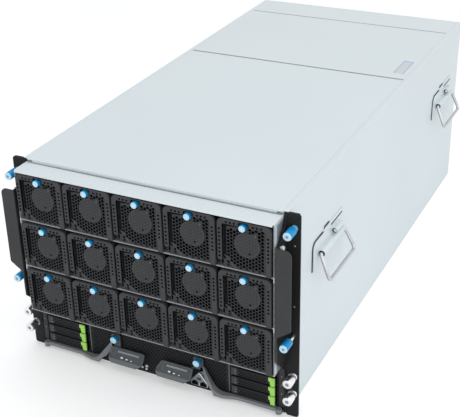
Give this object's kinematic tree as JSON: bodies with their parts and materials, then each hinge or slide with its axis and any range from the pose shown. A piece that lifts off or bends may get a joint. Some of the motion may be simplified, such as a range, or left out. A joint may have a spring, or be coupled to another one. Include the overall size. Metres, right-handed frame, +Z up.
{
  "type": "gpu server",
  "caption": "Rack-mount GPU server with a front wall of removable fans, a pull-out compute drawer with drives and ejector levers, lift-off top covers and side carrying handles.",
  "frame": {"origin": "on the floor under the middle of the whole outline", "axes": "+X to the right seen from the front, +Y towards the rear, +Z up; the fan wall faces -Y"},
  "size_m": [0.498, 0.9804, 0.348],
  "materials": {
    "galvanised_sheet": "satin pale grey coating on sheet steel",
    "bare_steel": "plated steel",
    "black_sheet": "fine textured black coating",
    "blue_knob": "smooth blue plastic over a steel stud",
    "grey_moulding": "slate grey moulding",
    "black_moulding": "matt black moulding",
    "board_and_sinks": "milled aluminium fins on dark boards",
    "supply_case": "plated sheet case",
    "card_stack": "plated brackets on dark cards"
  },
  "bodies": {
    "chassis": {"chassis_shell": "galvanised_sheet", "fan_cage": "bare_steel", "rack_ears": "black_sheet", "rack_thumbscrews": "blue_knob", "node_captive_screws": "bare_steel", "side_handle_brackets": "galvanised_sheet", "rear_panel": "galvanised_sheet", "accelerator_board": "board_and_sinks", "expansion_cards": "card_stack"},
    "front_cover": {"front_top_cover": "galvanised_sheet"},
    "rear_cover": {"rear_top_cover": "galvanised_sheet"},
    "compute_node": {"node_tray": "bare_steel", "node_front_panel": "black_sheet", "node_mainboard": "board_and_sinks"},
    "left_lever": {"lever_left": "grey_moulding"},
    "right_lever": {"lever_right": "grey_moulding"},
    "bail_left_front": {"bail_left_front": "bare_steel"},
    "bail_left_rear": {"bail_left_rear": "bare_steel"},
    "bail_right_front": {"bail_right_front": "bare_steel"},
    "bail_right_rear": {"bail_right_rear": "bare_steel"},
    "power_supply_1": {"power_supply_1": "supply_case"},
    "power_supply_2": {"power_supply_2": "supply_case"},
    "power_supply_3": {"power_supply_3": "supply_case"},
    "power_supply_4": {"power_supply_4": "supply_case"},
    "drive_left_1": {"drive_left_1": "black_moulding"},
    "drive_left_2": {"drive_left_2": "black_moulding"},
    "drive_left_3": {"drive_left_3": "black_moulding"},
    "drive_right_1": {"drive_right_1": "black_moulding"},
    "drive_right_2": {"drive_right_2": "black_moulding"},
    "drive_right_3": {"drive_right_3": "black_moulding"},
    "fan_r1c1": {"fan_module_r1c1": "black_sheet"},
    "rotor_r1c1": {"fan_rotor_r1c1": "black_moulding"},
    "fan_r1c2": {"fan_module_r1c2": "black_sheet"},
    "rotor_r1c2": {"fan_rotor_r1c2": "black_moulding"},
    "fan_r1c3": {"fan_module_r1c3": "black_sheet"},
    "rotor_r1c3": {"fan_rotor_r1c3": "black_moulding"},
    "fan_r1c4": {"fan_module_r1c4": "black_sheet"},
    "rotor_r1c4": {"fan_rotor_r1c4": "black_moulding"},
    "fan_r1c5": {"fan_module_r1c5": "black_sheet"},
    "rotor_r1c5": {"fan_rotor_r1c5": "black_moulding"},
    "fan_r2c1": {"fan_module_r2c1": "black_sheet"},
    "rotor_r2c1": {"fan_rotor_r2c1": "black_moulding"},
    "fan_r2c2": {"fan_module_r2c2": "black_sheet"},
    "rotor_r2c2": {"fan_rotor_r2c2": "black_moulding"},
    "fan_r2c3": {"fan_module_r2c3": "black_sheet"},
    "rotor_r2c3": {"fan_rotor_r2c3": "black_moulding"},
    "fan_r2c4": {"fan_module_r2c4": "black_sheet"},
    "rotor_r2c4": {"fan_rotor_r2c4": "black_moulding"},
    "fan_r2c5": {"fan_module_r2c5": "black_sheet"},
    "rotor_r2c5": {"fan_rotor_r2c5": "black_moulding"},
    "fan_r3c1": {"fan_module_r3c1": "black_sheet"},
    "rotor_r3c1": {"fan_rotor_r3c1": "black_moulding"},
    "fan_r3c2": {"fan_module_r3c2": "black_sheet"},
    "rotor_r3c2": {"fan_rotor_r3c2": "black_moulding"},
    "fan_r3c3": {"fan_module_r3c3": "black_sheet"},
    "rotor_r3c3": {"fan_rotor_r3c3": "black_moulding"},
    "fan_r3c4": {"fan_module_r3c4": "black_sheet"},
    "rotor_r3c4": {"fan_rotor_r3c4": "black_moulding"},
    "fan_r3c5": {"fan_module_r3c5": "black_sheet"},
    "rotor_r3c5": {"fan_rotor_r3c5": "black_moulding"}
  },
  "joints": [
    {"name": "front_cover_lift", "type": "slide", "parent": "chassis", "child": "front_cover", "axis": [0, 0, 1], "range_m": [0, 0.12]},
    {"name": "rear_cover_lift", "type": "slide", "parent": "chassis", "child": "rear_cover", "axis": [0, 0, 1], "range_m": [0, 0.12]},
    {"name": "node_slide", "type": "slide", "parent": "chassis", "child": "compute_node", "axis": [0, -1, 0], "range_m": [0, 0.5]},
    {"name": "left_lever_swing", "type": "hinge", "parent": "compute_node", "child": "left_lever", "pos_m": [-0.212, -0.45675, 0.0066], "axis": [0, 0, -1], "range_deg": [0, 90]},
    {"name": "right_lever_swing", "type": "hinge", "parent": "compute_node", "child": "right_lever", "pos_m": [0.212, -0.45675, 0.0066], "axis": [0, 0, 1], "range_deg": [0, 90]},
    {"name": "bail_left_front_swing", "type": "hinge", "parent": "chassis", "child": "bail_left_front", "pos_m": [-0.2285, -0.28625, 0.222], "axis": [0, 1, 0], "range_deg": [0, 66]},
    {"name": "bail_left_rear_swing", "type": "hinge", "parent": "chassis", "child": "bail_left_rear", "pos_m": [-0.2285, 0.35075, 0.222], "axis": [0, 1, 0], "range_deg": [0, 66]},
    {"name": "bail_right_front_swing", "type": "hinge", "parent": "chassis", "child": "bail_right_front", "pos_m": [0.2285, -0.28625, 0.222], "axis": [0, -1, 0], "range_deg": [0, 66]},
    {"name": "bail_right_rear_swing", "type": "hinge", "parent": "chassis", "child": "bail_right_rear", "pos_m": [0.2285, 0.35075, 0.222], "axis": [0, -1, 0], "range_deg": [0, 66]},
    {"name": "power_supply_1_slide", "type": "slide", "parent": "chassis", "child": "power_supply_1", "axis": [0, 1, 0], "range_m": [0, 0.3]},
    {"name": "power_supply_2_slide", "type": "slide", "parent": "chassis", "child": "power_supply_2", "axis": [0, 1, 0], "range_m": [0, 0.3]},
    {"name": "power_supply_3_slide", "type": "slide", "parent": "chassis", "child": "power_supply_3", "axis": [0, 1, 0], "range_m": [0, 0.3]},
    {"name": "power_supply_4_slide", "type": "slide", "parent": "chassis", "child": "power_supply_4", "axis": [0, 1, 0], "range_m": [0, 0.3]},
    {"name": "drive_left_1_slide", "type": "slide", "parent": "compute_node", "child": "drive_left_1", "axis": [0, -1, 0], "range_m": [0, 0.115]},
    {"name": "drive_left_2_slide", "type": "slide", "parent": "compute_node", "child": "drive_left_2", "axis": [0, -1, 0], "range_m": [0, 0.115]},
    {"name": "drive_left_3_slide", "type": "slide", "parent": "compute_node", "child": "drive_left_3", "axis": [0, -1, 0], "range_m": [0, 0.115]},
    {"name": "drive_right_1_slide", "type": "slide", "parent": "compute_node", "child": "drive_right_1", "axis": [0, -1, 0], "range_m": [0, 0.115]},
    {"name": "drive_right_2_slide", "type": "slide", "parent": "compute_node", "child": "drive_right_2", "axis": [0, -1, 0], "range_m": [0, 0.115]},
    {"name": "drive_right_3_slide", "type": "slide", "parent": "compute_node", "child": "drive_right_3", "axis": [0, -1, 0], "range_m": [0, 0.115]},
    {"name": "fan_r1c1_slide", "type": "slide", "parent": "chassis", "child": "fan_r1c1", "axis": [0, -1, 0], "range_m": [0, 0.11]},
    {"name": "rotor_r1c1_spin", "type": "hinge", "parent": "fan_r1c1", "child": "rotor_r1c1", "pos_m": [-0.17144, -0.46925, 0.29935], "axis": [0, 1, 0], "continuous": true},
    {"name": "fan_r1c2_slide", "type": "slide", "parent": "chassis", "child": "fan_r1c2", "axis": [0, -1, 0], "range_m": [0, 0.11]},
    {"name": "rotor_r1c2_spin", "type": "hinge", "parent": "fan_r1c2", "child": "rotor_r1c2", "pos_m": [-0.08572, -0.46925, 0.29935], "axis": [0, 1, 0], "continuous": true},
    {"name": "fan_r1c3_slide", "type": "slide", "parent": "chassis", "child": "fan_r1c3", "axis": [0, -1, 0], "range_m": [0, 0.11]},
    {"name": "rotor_r1c3_spin", "type": "hinge", "parent": "fan_r1c3", "child": "rotor_r1c3", "pos_m": [0, -0.46925, 0.29935], "axis": [0, 1, 0], "continuous": true},
    {"name": "fan_r1c4_slide", "type": "slide", "parent": "chassis", "child": "fan_r1c4", "axis": [0, -1, 0], "range_m": [0, 0.11]},
    {"name": "rotor_r1c4_spin", "type": "hinge", "parent": "fan_r1c4", "child": "rotor_r1c4", "pos_m": [0.08572, -0.46925, 0.29935], "axis": [0, 1, 0], "continuous": true},
    {"name": "fan_r1c5_slide", "type": "slide", "parent": "chassis", "child": "fan_r1c5", "axis": [0, -1, 0], "range_m": [0, 0.11]},
    {"name": "rotor_r1c5_spin", "type": "hinge", "parent": "fan_r1c5", "child": "rotor_r1c5", "pos_m": [0.17144, -0.46925, 0.29935], "axis": [0, 1, 0], "continuous": true},
    {"name": "fan_r2c1_slide", "type": "slide", "parent": "chassis", "child": "fan_r2c1", "axis": [0, -1, 0], "range_m": [0, 0.11]},
    {"name": "rotor_r2c1_spin", "type": "hinge", "parent": "fan_r2c1", "child": "rotor_r2c1", "pos_m": [-0.17144, -0.46925, 0.21555], "axis": [0, 1, 0], "continuous": true},
    {"name": "fan_r2c2_slide", "type": "slide", "parent": "chassis", "child": "fan_r2c2", "axis": [0, -1, 0], "range_m": [0, 0.11]},
    {"name": "rotor_r2c2_spin", "type": "hinge", "parent": "fan_r2c2", "child": "rotor_r2c2", "pos_m": [-0.08572, -0.46925, 0.21555], "axis": [0, 1, 0], "continuous": true},
    {"name": "fan_r2c3_slide", "type": "slide", "parent": "chassis", "child": "fan_r2c3", "axis": [0, -1, 0], "range_m": [0, 0.11]},
    {"name": "rotor_r2c3_spin", "type": "hinge", "parent": "fan_r2c3", "child": "rotor_r2c3", "pos_m": [0, -0.46925, 0.21555], "axis": [0, 1, 0], "continuous": true},
    {"name": "fan_r2c4_slide", "type": "slide", "parent": "chassis", "child": "fan_r2c4", "axis": [0, -1, 0], "range_m": [0, 0.11]},
    {"name": "rotor_r2c4_spin", "type": "hinge", "parent": "fan_r2c4", "child": "rotor_r2c4", "pos_m": [0.08572, -0.46925, 0.21555], "axis": [0, 1, 0], "continuous": true},
    {"name": "fan_r2c5_slide", "type": "slide", "parent": "chassis", "child": "fan_r2c5", "axis": [0, -1, 0], "range_m": [0, 0.11]},
    {"name": "rotor_r2c5_spin", "type": "hinge", "parent": "fan_r2c5", "child": "rotor_r2c5", "pos_m": [0.17144, -0.46925, 0.21555], "axis": [0, 1, 0], "continuous": true},
    {"name": "fan_r3c1_slide", "type": "slide", "parent": "chassis", "child": "fan_r3c1", "axis": [0, -1, 0], "range_m": [0, 0.11]},
    {"name": "rotor_r3c1_spin", "type": "hinge", "parent": "fan_r3c1", "child": "rotor_r3c1", "pos_m": [-0.17144, -0.46925, 0.13175], "axis": [0, 1, 0], "continuous": true},
    {"name": "fan_r3c2_slide", "type": "slide", "parent": "chassis", "child": "fan_r3c2", "axis": [0, -1, 0], "range_m": [0, 0.11]},
    {"name": "rotor_r3c2_spin", "type": "hinge", "parent": "fan_r3c2", "child": "rotor_r3c2", "pos_m": [-0.08572, -0.46925, 0.13175], "axis": [0, 1, 0], "continuous": true},
    {"name": "fan_r3c3_slide", "type": "slide", "parent": "chassis", "child": "fan_r3c3", "axis": [0, -1, 0], "range_m": [0, 0.11]},
    {"name": "rotor_r3c3_spin", "type": "hinge", "parent": "fan_r3c3", "child": "rotor_r3c3", "pos_m": [0, -0.46925, 0.13175], "axis": [0, 1, 0], "continuous": true},
    {"name": "fan_r3c4_slide", "type": "slide", "parent": "chassis", "child": "fan_r3c4", "axis": [0, -1, 0], "range_m": [0, 0.11]},
    {"name": "rotor_r3c4_spin", "type": "hinge", "parent": "fan_r3c4", "child": "rotor_r3c4", "pos_m": [0.08572, -0.46925, 0.13175], "axis": [0, 1, 0], "continuous": true},
    {"name": "fan_r3c5_slide", "type": "slide", "parent": "chassis", "child": "fan_r3c5", "axis": [0, -1, 0], "range_m": [0, 0.11]},
    {"name": "rotor_r3c5_spin", "type": "hinge", "parent": "fan_r3c5", "child": "rotor_r3c5", "pos_m": [0.17144, -0.46925, 0.13175], "axis": [0, 1, 0], "continuous": true}
  ]
}
